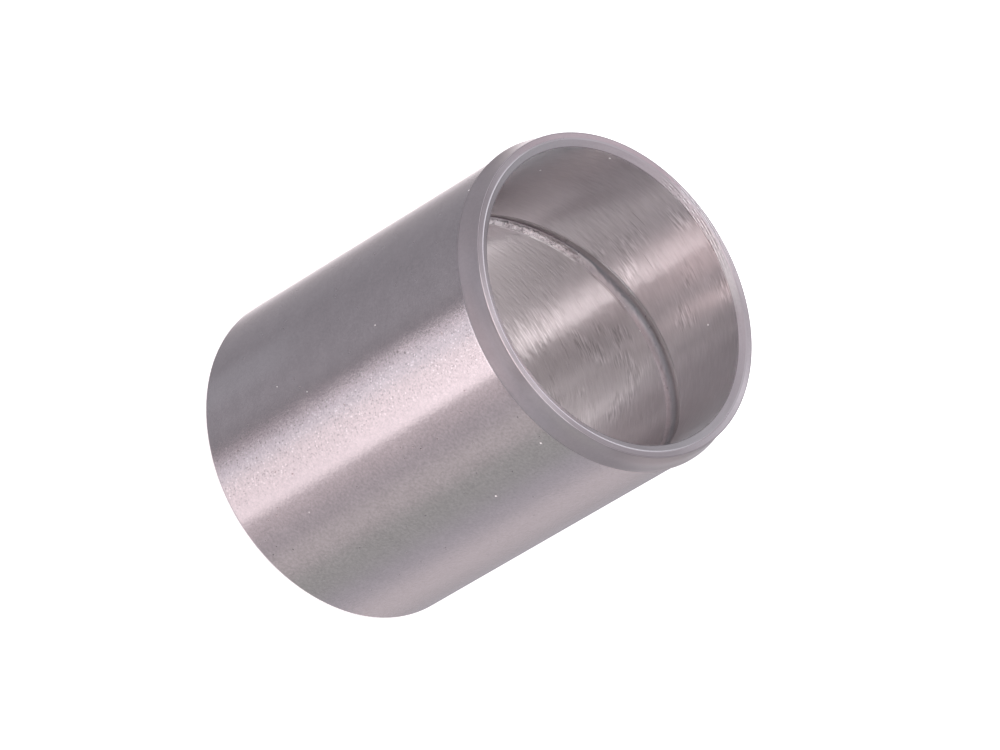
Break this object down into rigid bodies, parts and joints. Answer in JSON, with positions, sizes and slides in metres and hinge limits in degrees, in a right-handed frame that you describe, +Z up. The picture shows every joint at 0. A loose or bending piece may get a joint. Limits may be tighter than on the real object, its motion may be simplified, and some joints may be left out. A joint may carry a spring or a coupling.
{
  "type": "press fit bushing",
  "caption": "Steel sleeve pressed into a housing to guide a shaft: smooth bore with a helical oil groove, low shoulder and tapered band at the mouth, lead-in at the other end.",
  "frame": {"origin": "centre of the bottom face, which is the entry end that the bushing stands on", "axes": "+Z up along the bore axis, from the entry end out of the mouth; the groove crosses +Y at about two thirds of the height"},
  "size_m": [0.0508, 0.0508, 0.0635],
  "materials": {
    "ground_steel": "hardened steel, satin ground outside with a faint etched grain, honed in the bore, turned on the end faces"
  },
  "bodies": {
    "root": {"bushing": "ground_steel"}
  },
  "joints": []
}
